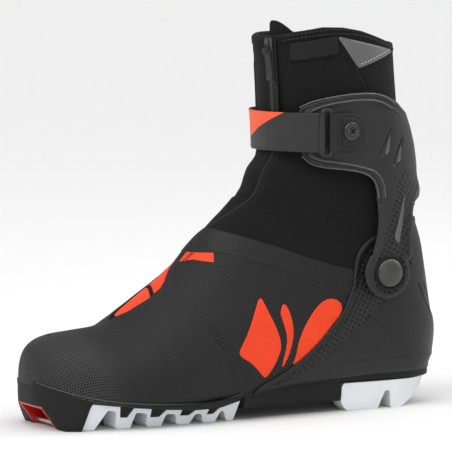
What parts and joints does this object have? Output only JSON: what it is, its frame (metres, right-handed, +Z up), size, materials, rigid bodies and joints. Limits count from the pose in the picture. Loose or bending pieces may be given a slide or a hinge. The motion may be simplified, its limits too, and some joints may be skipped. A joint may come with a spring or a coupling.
{
  "type": "cross country skate ski boot",
  "caption": "Tall cross country skating boot with a hinged ankle cuff, strap, side-zip collar, moulded shell and a sole with a toe bar for the binding.",
  "frame": {"origin": "on the ground, below the middle of the boot's bounding box", "axes": "+X towards the heel (the toe points along -X), +Y towards the inner (big toe) side of this left boot, +Z up"},
  "size_m": [0.2948, 0.1, 0.2552],
  "materials": {
    "vamp_plastic": "matt dark grey film, fine embossed dots",
    "shell_plastic": "satin dark grey moulded nylon",
    "softshell": "matt black knitted softshell",
    "panel_fabric": "matt black stretch weave",
    "lining": "dark brushed textile",
    "foam": "textile over foam",
    "board": "pressed fibre board",
    "sole_rubber": "matt black",
    "tread_rubber": "matt white",
    "red_plastic": "glossy red",
    "steel": "polished",
    "black_steel": "satin black",
    "cap_plastic": "satin dark grey",
    "strap_webbing": "satin coated webbing, dark grey with an orange tip",
    "cord": "braided cord",
    "label_cloth": "woven, black",
    "reflective": "grey reflective film",
    "zip_plastic": "black",
    "pull_rubber": "matt grey"
  },
  "bodies": {
    "foot": {"outsole": "sole_rubber", "toe_insert": "red_plastic", "binding_bar": "steel", "tread_front_lateral": "tread_rubber", "tread_front_medial": "tread_rubber", "tread_heel_lateral": "tread_rubber", "tread_heel_medial": "tread_rubber", "lasting_board": "board", "insole": "foam", "forefoot_shell": "vamp_plastic", "softshell_lateral": "softshell", "softshell_medial": "softshell", "instep_panel": "panel_fabric", "heel_counter": "shell_plastic", "liner": "lining", "ankle_gusset": "softshell", "tongue": "foam", "lace": "cord", "lace_lock": "zip_plastic", "pivot_rivet_lateral": "steel", "pivot_rivet_medial": "steel", "pivot_washer_lateral": "black_steel", "pivot_washer_medial": "black_steel", "pivot_cap_lateral": "cap_plastic", "pivot_cap_medial": "cap_plastic"},
    "ankle_cuff": {"cuff": "shell_plastic", "collar": "softshell", "collar_lining": "lining", "zip_guard": "softshell", "zip_chain": "zip_plastic", "woven_label": "label_cloth", "reflective_patch": "reflective", "strap_base": "strap_webbing", "strap_ring": "black_steel", "strap_tab": "shell_plastic", "strap_screw_lateral": "black_steel", "strap_screw_medial": "black_steel", "tee_nut_lateral": "steel", "tee_nut_medial": "steel"},
    "strap_end": {"strap_tail": "strap_webbing", "hook_patch": "lining"},
    "slider": {"zip_slider": "zip_plastic"},
    "pull": {"zip_pull": "pull_rubber"}
  },
  "joints": [
    {"name": "cuff_hinge", "type": "hinge", "parent": "foot", "child": "ankle_cuff", "pos_m": [0.0938, 0, 0.0912], "axis": [0, -1, 0], "range_deg": [-5, 15], "stiffness_Nm_per_rad": 3, "deforming": ["ankle_gusset"]},
    {"name": "strap_peel", "type": "hinge", "parent": "ankle_cuff", "child": "strap_end", "pos_m": [0.0414, -0.046, 0.184], "axis": [0, 0, 1], "range_deg": [0, 110]},
    {"name": "zip_slide", "type": "slide", "parent": "ankle_cuff", "child": "slider", "axis": [0.0614, 0, -0.9981], "range_m": [0, 0.019]},
    {"name": "pull_swing", "type": "hinge", "parent": "slider", "child": "pull", "pos_m": [0.01638, -0.01326, 0.23768], "axis": [-0.2249, 0.9743, -0.0138], "range_deg": [0, 150]}
  ]
}
